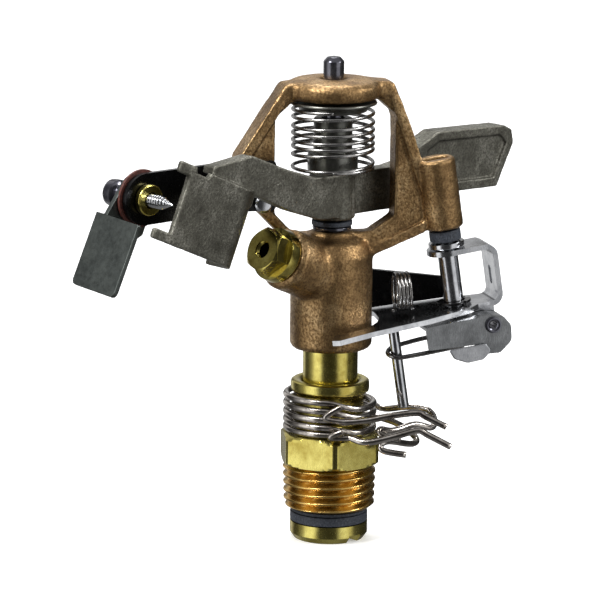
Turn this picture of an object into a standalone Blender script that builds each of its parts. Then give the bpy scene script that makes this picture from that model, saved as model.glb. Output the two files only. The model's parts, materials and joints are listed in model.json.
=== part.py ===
"""Part-circle impact sprinkler with a 1/2-14 NPT male inlet.

The origin is on the bearing axis at the lower end of the inlet flange. +Z points up along the
bearing axis and the jet leaves towards -Y. Sizes below are in millimetres, and MM turns them
into Blender's metres.
"""

import math

import bmesh
import bpy
from mathutils import Matrix, Vector

MM = 0.001
GAP = 0.3  # clearance kept between neighbouring pieces
THICK_WIRE_R = 0.5  # wires above this radius get eight sides, thinner ones six
MERGE = 0.000002  # merge distance of modifiers, in metres

# Inlet thread and bearing
PITCH = 25.4 / 14.0  # 14 threads an inch
THREAD_R = 10.65
THREAD_DEPTH = 1.1
THREAD_TAPER = math.tan(math.radians(1.79))
FLANGE_R = 8.85
FLANGE_TOP = 4.0
NIPPLE_BOTTOM = 7.3
THREAD_TOP = 17.7
HEX_TOP = 24.9
HEX_FLATS = 21.2
HEX_TURN = -6.5
NECK_R = 7.7
CUP_BOTTOM = 34.0
CUP_TOP = 37.0
CUP_R = 8.95
STEM_R = 4.6
FLANGE_SLOT_TURN = 28.0
FLANGE_SLOT_DEPTH = 1.7
WATERWAY_R = 3.4
SLEEVE_R = 6.25

# Body casting
BARREL_R = 9.3
BARREL_BOTTOM = 44.4
BARREL_TOP = 69.0
BODY_TOP = 71.4
STEM_TOP = 52.0
JET_ELEVATION = 23.7
JET_ORIGIN_Z = 60.2
NOZZLE_FRONT = 23.2
NOZZLE_HEX_FLATS = 9.4
NOZZLE_BORE_R = 1.6
BRIDGE_TURN = 28.0
WEB_HALF = 2.6
RIM_HALF = 3.5
OPENING_HALF = 14.0
OPENING_TOP = 101.1
BRIDGE_TOP = 105.8
BEAM_UNDERSIDE = 101.9
PIN_R = 2.35
PIN_TOP = 111.0
PIN_BOTTOM = 63.6

# Impact arm
ARM_BOTTOM = 74.1
ARM_TOP = 84.9
HUB_R = 5.2
SPOON_LENGTH = 18.7
SPOON_HEIGHT = 17.8
SPRING_R = 9.4
SPRING_WIRE_R = 0.43
SPRING_LEVELS = (85.7, 85.9, 89.6, 90.9, 92.3, 94.0, 95.5, 97.8, 99.3)  # height of each front crossing
VIEW_ANGLE = -43.0  # the side on which those heights lie

# Trip mechanism: a pivot axis that leans outwards towards its lower end
TRIP_ORIGIN = Vector((14.69, 22.14, 66.0))
TRIP_UP = Vector((-2.7, -4.0, 32.7)).normalized()
PIVOT_R = 2.3
TRIP_BOSS_R = 4.45
TRIP_BOSS_BOTTOM = 5.3
TRIP_BOSS_TOP = 21.5
PLATE_TOP = -12.6
PLATE_BOTTOM = -13.8
WALL_OUT = 10.55
SHEET = 1.2
BARREL_CENTRE = (-28.6, 2.8)  # the bearing axis in the plane of the forked plate
HINGE_AT = (5.6, -16.6)
TRIP_PIN_AT = (-15.75, -3.0)

# Diffuser and deflector
SCREW_Y = -49.1
SCREW_Z = 83.1
STRAP_X = -8.0
STRAP_EYE_R = 5.8
STRAP_LOW = 77.2
STRAP_HIGH = 88.6
FOOT_END = 14.4

# Friction collars
COLLAR_TURN = 47.0
COLLAR_WIRE_R = 0.76
COLLAR_R = 10.05
STEP_START = 306.0  # where a turn steps up to the next, in degrees from the collar's +X
STEP_WIDTH = 34.0

PARTS_NAME = "impact_sprinkler"
CUTTERS_NAME = "cutters"

COLOURS = {
    "brass": ((0.62, 0.45, 0.12), 0.25, 1.0),
    "bronze": ((0.42, 0.25, 0.11), 0.5, 1.0),
    "cast_arm": ((0.28, 0.27, 0.23), 0.5, 1.0),
    "stainless": ((0.62, 0.62, 0.62), 0.2, 1.0),
    "dark_steel": ((0.12, 0.12, 0.13), 0.3, 1.0),
    "spring_wire": ((0.35, 0.35, 0.35), 0.25, 1.0),
    "rubber": ((0.03, 0.035, 0.045), 0.6, 0.0),
    "fibre": ((0.25, 0.05, 0.03), 0.7, 0.0),
}


def start_clean():
    """Empty the scene and make the two collections."""
    for old in list(bpy.data.objects):
        bpy.data.objects.remove(old, do_unlink=True)
    for name in (PARTS_NAME, CUTTERS_NAME):
        collection = bpy.data.collections.get(name)
        if collection is None:
            collection = bpy.data.collections.new(name)
            bpy.context.scene.collection.children.link(collection)


def material(slot):
    """The material of one slot, made on first use."""
    found = bpy.data.materials.get(slot)
    if found:
        return found
    colour, roughness, metallic = COLOURS[slot]
    made = bpy.data.materials.new(slot)
    made.use_nodes = True
    shader = made.node_tree.nodes["Principled BSDF"]
    shader.inputs["Base Color"].default_value = (*colour, 1.0)
    shader.inputs["Roughness"].default_value = roughness
    shader.inputs["Metallic"].default_value = metallic
    return made


def add_object(name, data, frame=None):
    """Put a mesh or curve in the parts collection."""
    made = bpy.data.objects.new(name, data)
    bpy.data.collections[PARTS_NAME].objects.link(made)
    if frame is not None:
        made.matrix_world = frame
    return made


def as_cutter(tool):
    """Move a tool object to the cutters collection, hidden from the render."""
    bpy.data.collections[PARTS_NAME].objects.unlink(tool)
    bpy.data.collections[CUTTERS_NAME].objects.link(tool)
    tool.hide_render = True
    tool.display_type = "WIRE"


def boolean(target, tool, operation):
    """Join a tool to the target, or cut or intersect the target with it."""
    as_cutter(tool)
    step = target.modifiers.new(f"{operation}_{tool.name}", "BOOLEAN")
    step.object = tool
    step.operation = operation
    step.solver = "EXACT"


def join(target, *tools):
    for tool in tools:
        boolean(target, tool, "UNION")


def cut(target, *tools):
    for tool in tools:
        boolean(target, tool, "DIFFERENCE")


def finish(piece, slot, smooth_angle=35.0):
    """Give a piece its material, and smooth its round faces after its modifiers are applied."""
    bpy.context.view_layer.update()
    if piece.type == "MESH":
        evaluated = piece.evaluated_get(bpy.context.evaluated_depsgraph_get())
        mesh = bpy.data.meshes.new_from_object(evaluated)
        piece.modifiers.clear()
        piece.data = mesh
        mesh.name = piece.name
        work = bmesh.new()
        work.from_mesh(mesh)
        bmesh.ops.remove_doubles(work, verts=work.verts, dist=MERGE)
        work.to_mesh(mesh)
        work.free()
        mesh.shade_smooth()
        mesh.set_sharp_from_angle(angle=math.radians(smooth_angle))
    piece.data.materials.clear()
    piece.data.materials.append(material(slot))


def place(x=0.0, y=0.0, z=0.0, turn=0.0):
    """A frame at a point in millimetres, turned about Z by an angle in degrees."""
    spin = Matrix.Rotation(math.radians(turn), 4, "Z")
    return Matrix.Translation(Vector((x, y, z)) * MM) @ spin


def axis_frame(origin, x_axis, z_axis):
    """A frame at origin (mm) whose Z is z_axis and whose X is as near x_axis as possible."""
    up = Vector(z_axis).normalized()
    side = Vector(x_axis)
    side = (side - side.dot(up) * up).normalized()
    ahead = up.cross(side)
    turn = Matrix((side, ahead, up)).transposed().to_4x4()
    return Matrix.Translation(Vector(origin) * MM) @ turn


def turned(name, profile, frame=None, segments=48, ring=False):
    """A turned shape. The profile, (radius, height) in mm, runs down its outer side."""
    mesh = bpy.data.meshes.new(name)
    points = [(radius * MM, 0.0, height * MM) for radius, height in profile]
    edges = [(i, i + 1) for i in range(len(points) - 1)]
    if ring:
        edges.append((len(points) - 1, 0))
    mesh.from_pydata(points, edges, [])
    made = add_object(name, mesh, frame)
    screw = made.modifiers.new("turn", "SCREW")
    screw.axis = "Z"
    screw.angle = math.tau
    screw.steps = segments
    screw.render_steps = segments
    screw.use_merge_vertices = True
    screw.merge_threshold = MERGE
    weld = made.modifiers.new("weld", "WELD")
    weld.merge_threshold = MERGE
    return made


def rod(name, radius, bottom, top, frame=None, segments=32, chamfer=0.0):
    """A round bar between two heights, in mm, with optional chamfers."""
    profile = [(0.0, top)]
    if chamfer:
        profile += [(radius - chamfer, top), (radius, top - chamfer)]
        profile += [(radius, bottom + chamfer), (radius - chamfer, bottom)]
    else:
        profile += [(radius, top), (radius, bottom)]
    profile.append((0.0, bottom))
    return turned(name, profile, frame, segments)


def washer(name, outer, inner, bottom, top, frame=None, segments=40):
    """A flat ring between two heights, in mm."""
    profile = [(outer, top), (outer, bottom), (inner, bottom), (inner, top)]
    return turned(name, profile, frame, segments, ring=True)


def prism(name, sides, flats, bottom, top, frame=None, turn=0.0):
    """A regular prism measured across its flats, in mm."""
    mesh = bpy.data.meshes.new(name)
    work = bmesh.new()
    radius = flats / 2.0 / math.cos(math.pi / sides) * MM
    spin = Matrix.Rotation(math.radians(turn), 4, "Z")
    lift = Matrix.Translation((0.0, 0.0, (bottom + top) / 2.0 * MM))
    bmesh.ops.create_cone(
        work,
        cap_ends=True,
        segments=sides,
        radius1=radius,
        radius2=radius,
        depth=(top - bottom) * MM,
        matrix=lift @ spin,
    )
    work.to_mesh(mesh)
    work.free()
    return add_object(name, mesh, frame)


def box(name, low, high, frame=None):
    """A block between two corners, in mm."""
    mesh = bpy.data.meshes.new(name)
    work = bmesh.new()
    low = Vector(low) * MM
    high = Vector(high) * MM
    size = Matrix.Diagonal((*(high - low), 1.0))
    bmesh.ops.create_cube(work, size=1.0, matrix=Matrix.Translation((low + high) / 2.0) @ size)
    work.to_mesh(mesh)
    work.free()
    return add_object(name, mesh, frame)


def arc(centre, radius, start, stop, steps):
    """Points along an arc; angles in degrees."""
    points = []
    for step in range(steps + 1):
        angle = math.radians(start + (stop - start) * step / steps)
        points.append((centre[0] + radius * math.cos(angle), centre[1] + radius * math.sin(angle)))
    return points


def rounded(corners, radius, steps=3):
    """An outline whose corners are rounded; a corner may carry its own radius."""
    points = []
    count = len(corners)
    for index, corner in enumerate(corners):
        here = Vector(corner[:2])
        size = corner[2] if len(corner) > 2 else radius
        before = (Vector(corners[index - 1][:2]) - here).normalized()
        after = (Vector(corners[(index + 1) % count][:2]) - here).normalized()
        if size <= 0.0:
            points.append(tuple(here))
            continue
        half = before.angle(after) / 2.0
        reach = size / math.tan(half)
        middle = here + (before + after).normalized() * (size / math.sin(half))
        start = here + before * reach - middle
        stop = here + after * reach - middle
        sweep = start.angle_signed(stop)
        for step in range(steps + 1):
            turn = Matrix.Rotation(-sweep * step / steps, 2)
            points.append(tuple(middle + turn @ start))
    return points


def sheet(name, outline, low, high, frame=None, holes=()):
    """A flat outline in mm, filled and extruded between two heights, as a mesh."""
    curve = bpy.data.curves.new(name, "CURVE")
    curve.dimensions = "2D"
    curve.fill_mode = "BOTH"
    curve.extrude = (high - low) / 2.0 * MM
    for points in (outline, *holes):
        spline = curve.splines.new("POLY")
        spline.points.add(len(points) - 1)
        for point, (x, y) in zip(spline.points, points):
            point.co = (x * MM, y * MM, 0.0, 1.0)
        spline.use_cyclic_u = True
    flat = add_object(name + "_outline", curve)
    bpy.context.view_layer.update()
    evaluated = flat.evaluated_get(bpy.context.evaluated_depsgraph_get())
    mesh = bpy.data.meshes.new_from_object(evaluated)
    bpy.data.objects.remove(flat)
    mesh.transform(Matrix.Translation((0.0, 0.0, (high + low) / 2.0 * MM)))
    work = bmesh.new()
    work.from_mesh(mesh)
    bmesh.ops.remove_doubles(work, verts=work.verts, dist=MERGE)
    bmesh.ops.recalc_face_normals(work, faces=work.faces)
    work.to_mesh(mesh)
    work.free()
    return add_object(name, mesh, frame)


def wire(name, points, radius, frame=None):
    """A round wire through points in mm."""
    curve = bpy.data.curves.new(name, "CURVE")
    curve.dimensions = "3D"
    curve.bevel_depth = radius * MM
    curve.bevel_resolution = 2 if radius > THICK_WIRE_R else 1
    curve.use_fill_caps = True
    spline = curve.splines.new("POLY")
    spline.points.add(len(points) - 1)
    for target, point in zip(spline.points, points):
        target.co = (*(Vector(point) * MM), 1.0)
    return add_object(name, curve, frame)


def smooth_path(points, steps=3):
    """A Catmull-Rom curve through a list of points."""
    knots = [Vector(point) for point in points]
    knots = [2 * knots[0] - knots[1], *knots, 2 * knots[-1] - knots[-2]]
    path = []
    for a, b, c, d in zip(knots, knots[1:], knots[2:], knots[3:]):
        for step in range(steps):
            t = step / steps
            path.append(
                0.5
                * (
                    2 * b
                    + (c - a) * t
                    + (2 * a - 5 * b + 4 * c - d) * t**2
                    + (3 * b - a - 3 * c + d) * t**3
                )
            )
    path.append(knots[-2])
    return path


def helix(radius, bottom, top, turns, start=0.0, per_turn=14):
    """Points of a coil from the bottom to the top, in mm; start in degrees."""
    count = round(turns * per_turn)
    points = []
    for step in range(count + 1):
        share = step / count
        angle = math.radians(start) + math.tau * turns * share
        height = bottom + (top - bottom) * share
        points.append((radius * math.cos(angle), radius * math.sin(angle), height))
    return points


# Frames of the sub-assemblies
JET_UP = Vector((0.0, -math.cos(math.radians(JET_ELEVATION)), math.sin(math.radians(JET_ELEVATION))))
JET_ACROSS = Vector((0.0, JET_UP.z, -JET_UP.y))
BRIDGE_OUT = Vector((math.sin(math.radians(BRIDGE_TURN)), math.cos(math.radians(BRIDGE_TURN)), 0.0))
BRIDGE_FACE = Vector((BRIDGE_OUT.y, -BRIDGE_OUT.x, 0.0))
JET_FRAME = axis_frame((0.0, 0.0, JET_ORIGIN_Z), (1.0, 0.0, 0.0), JET_UP)
BRIDGE_FRAME = axis_frame((0.0, 0.0, 0.0), BRIDGE_OUT, BRIDGE_FACE)
TRIP_FRAME = axis_frame(TRIP_ORIGIN, BRIDGE_OUT, TRIP_UP)
SCREW_FRAME = axis_frame((0.0, SCREW_Y, SCREW_Z), (0.0, -1.0, 0.0), (1.0, 0.0, 0.0))
SIDE_FRAME = axis_frame((0.0, 0.0, 0.0), (0.0, 1.0, 0.0), (1.0, 0.0, 0.0))
SPOON_FRAME = axis_frame((0.0, -37.1, 68.4), (0.0, -JET_ACROSS.z, JET_ACROSS.y), JET_ACROSS)
SPOON_SIDE = axis_frame((0.0, -37.1, 68.4), (0.0, -JET_ACROSS.z, JET_ACROSS.y), (-1.0, 0.0, 0.0))
TRIP_SECTION = TRIP_FRAME @ axis_frame((0.0, 0.0, 0.0), (1.0, 0.0, 0.0), (0.0, -1.0, 0.0))
HINGE_FRAME = TRIP_SECTION @ place(*HINGE_AT)


def thread_profile():
    """Crests and roots of the tapered thread, from its top down."""
    points = []
    count = int((THREAD_TOP - NIPPLE_BOTTOM) / PITCH)
    for turn in range(count):
        height = THREAD_TOP - 0.5 - (turn + 0.5) * PITCH
        crest = THREAD_R - (THREAD_TOP - height) * THREAD_TAPER
        points.append((crest - THREAD_DEPTH, height + PITCH * 0.5))
        points.append((crest, height + PITCH * 0.08))
        points.append((crest, height - PITCH * 0.08))
    root = points[-1][0] - THREAD_DEPTH
    points.append((root, points[-1][1] - PITCH * 0.42))
    return points


def bearing_nipple():
    """Brass nipple: tapered thread, wrench hex, collar seat and spring cup."""
    bore = STEM_R + GAP
    cup_bore = SLEEVE_R + GAP
    profile = [
        (CUP_R - 0.5, CUP_TOP),
        (CUP_R, CUP_TOP - 0.6),
        (CUP_R, CUP_BOTTOM + 0.7),
        (CUP_R - 0.6, CUP_BOTTOM),
        (NECK_R, CUP_BOTTOM - 0.4),
        (NECK_R, HEX_TOP - 0.4),
        (10.0, HEX_TOP - 0.6),
        (10.0, THREAD_TOP + 0.4),
        *thread_profile(),
        (THREAD_R - THREAD_DEPTH - 1.1, NIPPLE_BOTTOM),
        (bore, NIPPLE_BOTTOM),
        (bore, CUP_BOTTOM + 0.6),
        (cup_bore, CUP_BOTTOM + 0.6),
        (cup_bore, CUP_TOP - 0.3),
        (cup_bore + 0.4, CUP_TOP),
    ]
    nipple = turned("bearing_nipple", profile, segments=40, ring=True)
    corner = HEX_FLATS / math.sqrt(3.0)
    hexagon = prism("wrench_hex", 6, HEX_FLATS, THREAD_TOP, HEX_TOP, turn=HEX_TURN)
    chamfer = turned(
        "hex_chamfer",
        [
            (0.0, HEX_TOP + 0.5),
            (corner - 1.6, HEX_TOP + 0.5),
            (corner + 0.4, HEX_TOP - 1.4),
            (corner + 0.4, THREAD_TOP + 1.0),
            (corner - 1.6, THREAD_TOP - 0.5),
            (0.0, THREAD_TOP - 0.5),
        ],
    )
    boolean(hexagon, chamfer, "INTERSECT")
    cut(hexagon, rod("hex_clearance", 9.0, THREAD_TOP - 1.0, HEX_TOP + 1.0))
    join(nipple, hexagon)
    finish(nipple, "brass")


def collar_coil(bottom, pitch, passes):
    """A collar's wire round the nipple, from its front tail up to its back tail."""
    points = []
    total = 360.0 * (passes - 1) + 180.0
    count = round(total / 15.0)
    for index in range(count + 1):
        angle = 270.0 - total * index / count
        passed = (STEP_START - angle) / 360.0
        whole = math.floor(passed)
        share = min(1.0, (passed - whole) * 360.0 / STEP_WIDTH)
        level = bottom + (whole + share - 1.0) * pitch
        turn = math.radians(angle)
        points.append((COLLAR_R * math.cos(turn), COLLAR_R * math.sin(turn), level))
    return points


def friction_collar(name, coil, front_tail, back_tail):
    """A wire collar. Its tails point along the local +X; -Y is the front."""
    path = [*smooth_path(front_tail)[::-1], *coil[1:-1], *smooth_path(back_tail)]
    finish(wire(name, path, COLLAR_WIRE_R, place(turn=COLLAR_TURN)), "spring_wire")


def friction_collars():
    """The two wire collars that set the arc; the trip pin runs above their back tails."""
    friction_collar(
        "lower_collar",
        collar_coil(25.9, 1.72, 2),
        [
            (1.5, -10.15, 25.9),
            (4.6, -11.5, 25.75),
            (8.2, -13.2, 25.1),
            (15.1, -13.0, 26.7),
            (19.8, -12.4, 27.9),
            (21.9, -12.2, 26.9),
            (27.3, -12.2, 24.1),
        ],
        [
            (1.5, 10.1, 27.6),
            (8.0, 10.0, 26.3),
            (15.5, 8.2, 24.6),
            (19.9, 5.0, 21.9),
            (18.7, 2.0, 21.2),
            (13.5, -5.6, 23.7),
            (11.5, -7.4, 23.1),
            (12.3, -7.9, 21.9),
            (17.3, -7.9, 21.1),
        ],
    )
    friction_collar(
        "upper_collar",
        collar_coil(29.45, 1.98, 3),
        [
            (1.5, -10.1, 29.4),
            (3.4, -10.8, 29.2),
            (9.0, -11.3, 29.9),
            (13.5, -11.3, 30.9),
            (19.6, -11.3, 31.7),
            (21.4, -11.3, 30.9),
            (26.2, -11.3, 28.5),
        ],
        [
            (1.5, 10.2, 33.4),
            (6.0, 11.7, 31.4),
            (11.6, 11.0, 27.4),
            (17.3, 8.6, 28.4),
            (22.1, 7.0, 28.3),
            (23.9, 5.0, 26.7),
            (23.4, 2.5, 24.9),
            (19.4, 0.0, 26.4),
            (14.4, -4.0, 25.7),
            (11.4, -6.4, 26.7),
            (11.6, -7.4, 25.6),
            (16.1, -8.0, 24.8),
        ],
    )


def stem_tube():
    """Bearing tube with the slotted inlet flange at its lower end."""
    profile = [
        (STEM_R, STEM_TOP),
        (STEM_R, FLANGE_TOP),
        (FLANGE_R, FLANGE_TOP),
        (FLANGE_R, 1.3),
        (FLANGE_R - 0.9, 0.0),
        (WATERWAY_R + 2.0, 0.0),
        (WATERWAY_R, 3.0),
        (WATERWAY_R, STEM_TOP),
    ]
    stem = turned("stem_tube", profile, ring=True)
    slot_frame = place(turn=FLANGE_SLOT_TURN)
    cut(stem, box("flange_slot", (-12.0, -1.6, -1.0), (12.0, 1.6, FLANGE_SLOT_DEPTH), slot_frame))
    finish(stem, "brass")


def bearing_pieces():
    """Thrust washers, bearing spring and its sleeve."""
    bore = STEM_R + GAP
    finish(washer("thrust_washer", FLANGE_R, bore, FLANGE_TOP + 0.2, 6.2), "rubber")
    finish(washer("wear_washer", FLANGE_R - 0.1, bore, 6.4, 7.05), "rubber")
    bottom = CUP_BOTTOM + 0.6 + GAP
    top = BARREL_BOTTOM - GAP
    finish(washer("spring_sleeve", SLEEVE_R, SLEEVE_R - 0.5, bottom, top, segments=48), "brass")
    coil = helix(5.3, bottom + 0.5, top - 0.5, 5, per_turn=12)
    finish(wire("bearing_spring", coil, 0.35), "spring_wire")


def bridge():
    """The bridge over the arm: a web with a large opening and a raised rim down each leg."""
    left = (
        ((-6.0, BRIDGE_TOP), (-6.0, BEAM_UNDERSIDE)),
        ((-11.9, 105.3), (-11.2, BEAM_UNDERSIDE)),
        ((-22.6, 88.9), (-20.2, 88.3)),
        ((-23.4, 84.0), (-20.9, 84.3)),
        ((-18.0, 76.6), (-16.2, 78.0)),
        ((-12.4, 70.9), (-10.8, 72.6)),
        ((-7.4, 67.0), (-7.4, 69.8)),
    )
    right = (
        ((6.0, BRIDGE_TOP), (6.0, BEAM_UNDERSIDE)),
        ((13.4, 105.2), (12.3, BEAM_UNDERSIDE)),
        ((18.2, 92.7), (15.6, 92.4)),
        ((24.4, 73.8), (21.6, 74.4)),
        ((20.8, 70.4), (20.2, 72.8)),
        ((7.4, 64.9), (7.4, 67.4)),
    )
    outline = []
    rims = []
    for name, leg in (("left_rim", left), ("right_rim", right)):
        outer = [pair[0] for pair in leg]
        inner = [pair[1] for pair in leg]
        middle = [tuple((Vector(a) + Vector(b)) / 2.0) for a, b in leg]
        outline += middle if not outline else middle[::-1]
        rims.append(sheet(name, [*outer, *inner[::-1]], -RIM_HALF, RIM_HALF, BRIDGE_FRAME))
    opening = []
    for side, low in ((-1, 73.6), (1, 74.4)):
        half = [
            (side * 8.6, BODY_TOP - 0.4),
            (side * OPENING_HALF, low),
            (side * OPENING_HALF, 97.6),
            (side * 10.2, OPENING_TOP),
        ]
        opening += half if side < 0 else half[::-1]
    web = sheet("bridge_web", outline, -WEB_HALF, WEB_HALF, BRIDGE_FRAME, [opening])
    half = RIM_HALF - 0.15
    low = (-10.6, BEAM_UNDERSIDE + GAP, -half)
    beam = box("bridge_beam", low, (11.8, BRIDGE_TOP - 0.45, half), BRIDGE_FRAME)
    return web, *rims, beam


def sprinkler_body(leg_holes):
    """Bronze casting: barrel, nozzle boss, bridge and trip boss, with its waterway."""
    body = turned(
        "sprinkler_body",
        [
            (0.0, BODY_TOP),
            (4.7, BODY_TOP),
            (5.2, BARREL_TOP + 1.2),
            (BARREL_R - 1.6, BARREL_TOP),
            (BARREL_R, BARREL_TOP - 3.0),
            (BARREL_R, BARREL_BOTTOM + 0.9),
            (BARREL_R - 0.7, BARREL_BOTTOM),
            (0.0, BARREL_BOTTOM),
        ],
    )
    crown = turned(
        "bridge_crown",
        [
            (0.0, BRIDGE_TOP + 0.4),
            (5.0, BRIDGE_TOP + 0.3),
            (9.4, BRIDGE_TOP - 0.2),
            (10.6, BRIDGE_TOP - 1.2),
            (10.6, OPENING_TOP + 1.2),
            (9.7, OPENING_TOP + 0.3),
            (3.9, OPENING_TOP + 0.3),
            (3.9, 98.0),
            (0.0, 98.0),
        ],
    )
    nozzle_boss = turned(
        "nozzle_boss",
        [(0.0, 16.6), (6.0, 16.6), (7.0, 15.6), (7.0, 2.0), (0.0, 2.0)],
        JET_FRAME,
    )
    trip_boss = rod("trip_boss", TRIP_BOSS_R, TRIP_BOSS_BOTTOM, TRIP_BOSS_TOP, TRIP_FRAME, chamfer=0.5)
    join(body, *bridge(), crown, nozzle_boss, trip_boss)
    cut(
        body,
        rod("stem_socket", STEM_R + GAP, BARREL_BOTTOM - 1.0, STEM_TOP + GAP),
        rod("waterway", WATERWAY_R, STEM_TOP - 1.0, 62.6),
        rod("jet_bore", WATERWAY_R, 0.0, 18.0, JET_FRAME),
        rod("nozzle_socket", 4.2, 7.0, 18.0, JET_FRAME),
        rod("pin_hole", PIN_R + GAP, PIN_BOTTOM - GAP, PIN_TOP + 1.0),
        rod("pivot_hole", PIVOT_R + GAP, 4.0, 17.0, TRIP_FRAME),
        box("boss_slot", (-2.9, -1.3, TRIP_BOSS_TOP - 2.9), (2.9, 1.3, TRIP_BOSS_TOP + 1.5), TRIP_FRAME),
        *leg_holes,
    )
    finish(body, "bronze")


def nozzle():
    """Brass nozzle with a hex head, screwed into the body along the jet."""
    head_start = NOZZLE_FRONT - 3.8
    stem = turned(
        "nozzle",
        [
            (3.4, NOZZLE_FRONT - 0.3),
            (3.8, head_start + 0.5),
            (6.0, head_start + 0.2),
            (6.2, 17.6),
            (6.0, 16.9),
            (3.9, 16.9),
            (3.9, 7.4),
            (2.9, 7.4),
            (NOZZLE_BORE_R, 14.0),
            (NOZZLE_BORE_R, NOZZLE_FRONT - 0.8),
            (NOZZLE_BORE_R + 0.4, NOZZLE_FRONT - 0.3),
        ],
        JET_FRAME,
        segments=36,
        ring=True,
    )
    head = prism("nozzle_hex", 6, NOZZLE_HEX_FLATS, head_start, NOZZLE_FRONT, JET_FRAME, turn=12.0)
    corner = NOZZLE_HEX_FLATS / math.sqrt(3.0)
    chamfer = turned(
        "nozzle_chamfer",
        [
            (0.0, NOZZLE_FRONT + 0.1),
            (corner - 1.0, NOZZLE_FRONT + 0.1),
            (corner + 0.3, NOZZLE_FRONT - 0.9),
            (corner + 0.3, head_start - 1.0),
            (0.0, head_start - 1.0),
        ],
        JET_FRAME,
        segments=36,
    )
    boolean(head, chamfer, "INTERSECT")
    reach = (head_start - 1.0, NOZZLE_FRONT + 1.0)
    cut(head, rod("nozzle_clearance", NOZZLE_BORE_R + 0.5, *reach, JET_FRAME))
    join(stem, head)
    finish(stem, "brass")


def fulcrum_pieces():
    """Fulcrum pin, arm washers, spring cap and arm spring."""
    pin = turned(
        "fulcrum_pin",
        [
            (0.0, PIN_TOP),
            (1.5, PIN_TOP - 0.25),
            (PIN_R, PIN_TOP - 1.2),
            (PIN_R, PIN_BOTTOM),
            (0.0, PIN_BOTTOM),
        ],
        segments=32,
    )
    finish(pin, "dark_steel")
    bore = PIN_R + GAP
    level = BODY_TOP + GAP
    finish(washer("lower_arm_washer", 4.4, bore, level, level + 0.6, segments=32), "dark_steel")
    finish(washer("upper_arm_washer", 4.6, bore, level + 0.9, level + 1.9, segments=32), "rubber")
    cap = turned(
        "spring_cap",
        [(9.7, 100.9), (9.9, 100.6), (9.9, 100.3), (8.1, 99.8), (7.6, 98.6), (4.4, 98.6), (4.4, 100.9)],
        ring=True,
    )
    finish(cap, "dark_steel")
    coil = []
    turns = len(SPRING_LEVELS) - 1
    for step in range(turns * 14 + 1):
        passed, share = divmod(step / 14, 1.0)
        here = SPRING_LEVELS[int(passed)]
        above = SPRING_LEVELS[min(int(passed) + 1, turns)]
        angle = math.radians(VIEW_ANGLE) + math.tau * step / 14
        height = here + (above - here) * share
        coil.append((SPRING_R * math.cos(angle), SPRING_R * math.sin(angle), height))
    finish(wire("arm_spring", coil, SPRING_WIRE_R), "spring_wire")


def impact_arm():
    """Cast arm: hub, blade up to the spoon in front, counterweight behind."""
    arm = rod("impact_arm", HUB_R, ARM_BOTTOM, ARM_TOP, chamfer=0.4)
    blade = rounded(
        [
            (2.5, ARM_BOTTOM + 0.7, 0.0),
            (2.5, ARM_TOP - 0.3, 0.0),
            (-9.5, ARM_TOP + 0.1, 6.0),
            (-18.6, 88.0, 0.0),
            (-28.8, 92.2, 2.5),
            (-40.0, 91.0, 0.6),
            (-40.4, 89.4, 0.0),
            (-31.4, 85.4, 0.4),
            (-31.6, 81.4, 0.6),
            (-29.0, 80.6, 0.4),
            (-28.0, 83.2, 0.5),
            (-17.0, 78.2, 6.0),
            (-8.0, 75.2, 4.0),
        ],
        0.5,
    )
    spoon = [(SPOON_LENGTH, 6.1)]
    spoon += arc((1.4, 1.1), 5.0, 90.0, 180.0, 8)
    spoon += [(-3.6, -3.6), (-2.3, -3.9)]
    spoon += arc((1.4, 1.1), 3.5, 180.0, 90.0, 8)
    spoon += [(SPOON_LENGTH, 4.6)]
    upper_tab = rounded([(14.0, 15.4), (22.2, 15.4), (22.2, 17.9), (14.0, 17.9)], 0.5)
    lower_tab = rounded([(14.0, -0.1), (23.7, -0.1), (23.7, 2.2), (14.0, 2.2)], 0.5)
    dip = [(13.2, 16.6), (17.0, 16.6), (17.4, 18.5), (12.6, 18.5)]
    tail = [
        (-1.0, ARM_BOTTOM + 0.5),
        (26.0, ARM_BOTTOM + 0.2),
        (26.0, 85.6),
        (16.0, ARM_TOP - 0.8),
        (-1.0, ARM_TOP - 0.5),
    ]
    weight = [(24.5, 76.5), (49.9, 75.7), (55.2, 85.5), (54.6, 88.6), (52.3, 89.8), (31.0, 90.6), (24.6, 87.8)]
    weight = rounded(weight, 0.6)
    panel = [(27.4, 78.6), (48.8, 77.9), (53.0, 85.8), (51.0, 87.8), (31.2, 88.5), (27.4, 86.6)]
    panel = rounded(panel, 0.6)
    plates = [
        sheet("arm_blade", blade, 1.3, 5.0, SIDE_FRAME),
        sheet("spoon_wall", spoon, 0.0, SPOON_HEIGHT, SPOON_FRAME),
        sheet("spoon_upper_tab", upper_tab, -5.9, -4.8, SPOON_SIDE),
        sheet("spoon_lower_tab", lower_tab, -5.9, -4.8, SPOON_SIDE),
        sheet("arm_tail", tail, -1.9, 2.0, SIDE_FRAME),
        sheet("counterweight", weight, -2.7, 2.7, SIDE_FRAME),
    ]
    join(arm, *plates)
    cut(
        arm,
        sheet("spoon_dip", dip, -8.0, -2.0, SPOON_SIDE),
        sheet("panel_right", panel, 2.1, 4.0, SIDE_FRAME),
        sheet("panel_left", panel, -4.0, -2.1, SIDE_FRAME),
        rod("hub_bore", 3.7, ARM_BOTTOM - 1.0, ARM_TOP + 1.0),
    )
    finish(arm, "cast_arm")
    bore = PIN_R + GAP
    bush = turned(
        "arm_bush",
        [
            (4.2, 97.0),
            (4.4, 96.7),
            (4.4, 89.4),
            (5.6, 89.0),
            (5.7, 88.6),
            (5.7, ARM_TOP + GAP),
            (3.4, ARM_TOP + GAP),
            (3.4, ARM_BOTTOM),
            (bore, ARM_BOTTOM),
            (bore, 97.0),
        ],
        segments=36,
        ring=True,
    )
    finish(bush, "dark_steel")


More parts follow.
